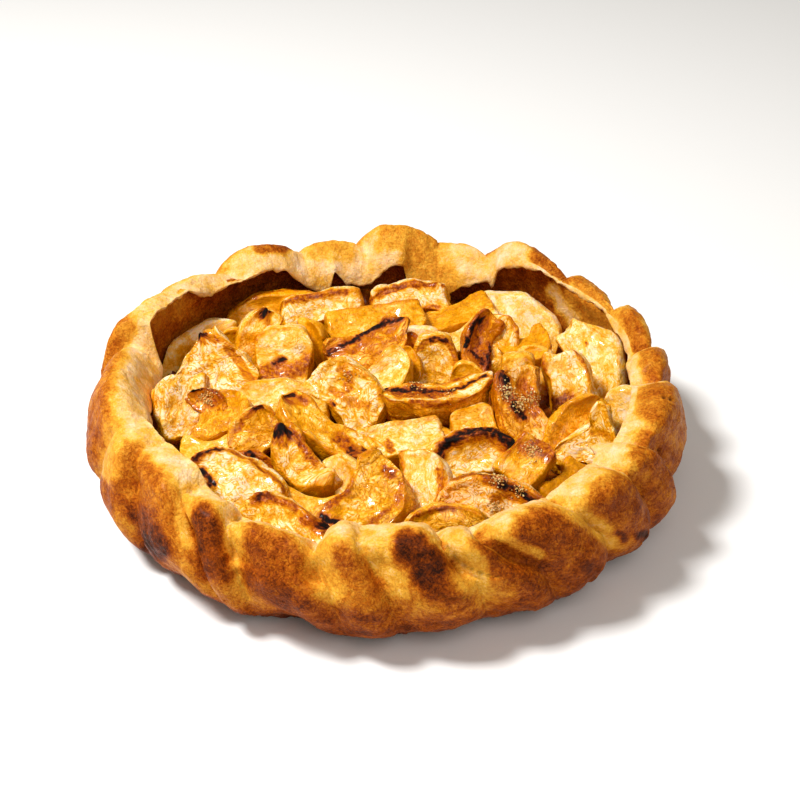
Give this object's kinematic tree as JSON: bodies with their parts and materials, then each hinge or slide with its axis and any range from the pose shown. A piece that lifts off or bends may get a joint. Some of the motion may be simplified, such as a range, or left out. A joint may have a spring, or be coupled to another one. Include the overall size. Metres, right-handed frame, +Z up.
{
  "type": "apple galette",
  "caption": "Round rustic galette: a deep golden pastry shell with a rope-pleated rim folded inwards, filled to the brim with baked, browned fruit pieces.",
  "frame": {"origin": "middle of the flat underside", "axes": "+Z up; the galette's front is at -Y and its right-hand side at +X"},
  "size_m": [0.2768, 0.2764, 0.064],
  "materials": {
    "crust": "egg-washed baked pastry, golden brown, slightly glossy",
    "filling": "soft baked fruit in its syrup",
    "apple_cream": "baked fruit flesh, pale, glazed and finely wrinkled",
    "apple_golden": "baked fruit flesh, golden yellow, glazed",
    "apple_brown": "baked fruit flesh, browned and charred at its edges, glazed"
  },
  "bodies": {
    "root": {"crust": "crust", "fruit_bed": "filling", "apple_boat": "apple_golden", "apple_long_wedge": "apple_golden", "apple_small_charred": "apple_brown", "apple_half_moon_front": "apple_golden", "apple_tall_dark_tip": "apple_golden", "apple_knobbly": "apple_cream", "apple_crescent": "apple_golden", "apple_black_lined": "apple_brown", "apple_spiked": "apple_cream", "apple_charred_lump": "apple_cream", "apple_upright_dark_tip": "apple_cream", "apple_slab": "apple_cream", "apple_sugared": "apple_brown", "apple_flat_charred_end": "apple_golden", "apple_charred_block": "apple_brown", "apple_browned_crescent": "apple_brown", "apple_back_wedge_left": "apple_cream", "apple_back_wedge_right": "apple_cream", "apple_ragged_brown": "apple_brown", "apple_dark_rimmed": "apple_cream", "apple_right_block": "apple_cream", "apple_sugar_brown": "apple_golden", "apple_olive_slice": "apple_golden", "apple_peaked": "apple_cream", "apple_round_faced": "apple_cream", "apple_front_upright": "apple_cream", "apple_crust_edge_wedge": "apple_golden", "apple_golden_bit": "apple_brown", "apple_striped": "apple_golden", "apple_pale_flat": "apple_cream", "apple_back_golden": "apple_golden", "apple_back_pale": "apple_cream", "apple_golden_block": "apple_golden", "apple_mid_cream": "apple_cream", "apple_small_golden": "apple_golden", "apple_pale_long": "apple_cream", "apple_smooth_back": "apple_golden", "apple_pale_yellow": "apple_golden", "apple_skin_side": "apple_golden", "apple_ridged": "apple_golden", "apple_tan_block": "apple_golden", "apple_pale_slice": "apple_cream", "apple_right_half_moon": "apple_cream", "apple_back_half_moon": "apple_cream", "apple_small_pale": "apple_cream", "apple_back_small": "apple_cream", "apple_left_leaning": "apple_cream", "apple_behind_smooth": "apple_golden", "apple_yellow_side": "apple_golden", "apple_small_yellow": "apple_golden", "apple_under_boat": "apple_golden", "apple_under_flat": "apple_golden", "apple_small_front": "apple_cream", "apple_small_brown": "apple_brown", "apple_wall_slice": "apple_cream", "apple_corner_smooth": "apple_golden", "apple_low_pale": "apple_cream"}
  },
  "joints": []
}
